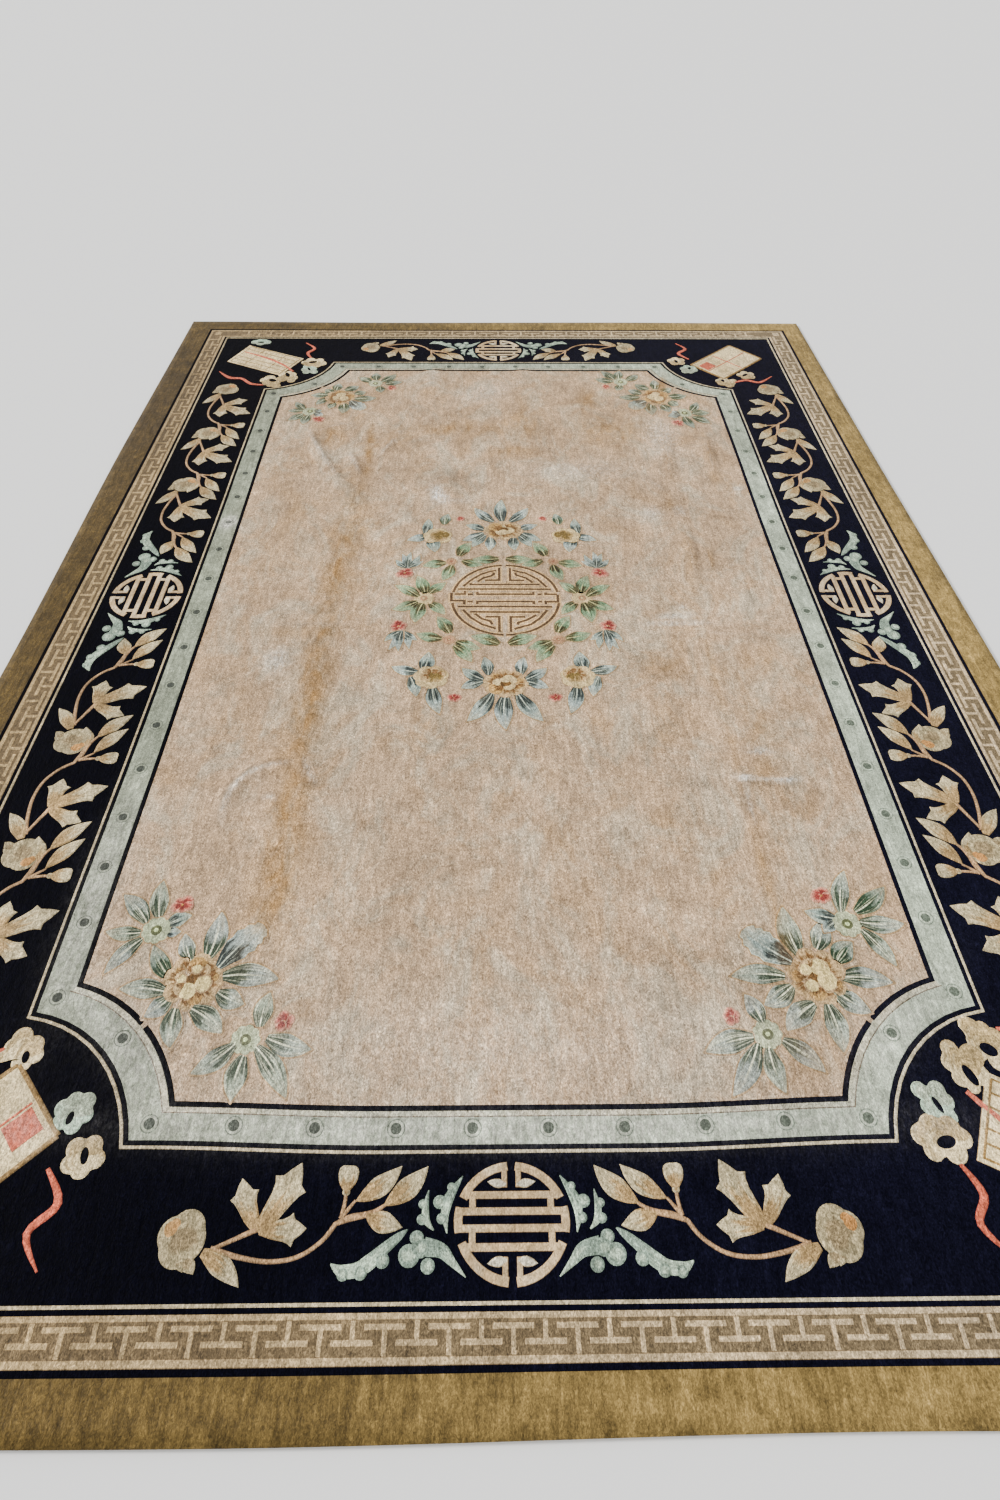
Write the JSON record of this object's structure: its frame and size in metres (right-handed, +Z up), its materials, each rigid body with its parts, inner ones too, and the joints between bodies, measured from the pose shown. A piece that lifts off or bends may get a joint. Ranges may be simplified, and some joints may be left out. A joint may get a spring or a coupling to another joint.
{
  "type": "silk rug",
  "caption": "Large hand-knotted silk pile rug lying flat, with a round central medallion in a flower wreath, corner sprays, a notched inner line and a dark scrolling border.",
  "frame": {"origin": "middle of the rug's bounding box, on the floor it lies on", "axes": "+X to the right across the rug, +Y along its length to the far end, +Z up"},
  "size_m": [3.0799, 4.286, 0.0227],
  "materials": {
    "field_silk": "cut silk pile, camel beige, soft sheen",
    "navy_silk": "cut silk pile, deep navy",
    "celadon_silk": "cut silk pile, pale grey green",
    "olive_silk": "cut silk pile, olive gold",
    "cream_silk": "cut silk pile, cream and tan",
    "flower_silk": "cut silk pile in shaded flower colours, carved round each shape"
  },
  "bodies": {
    "root": {"rug": "field_silk"}
  },
  "joints": []
}
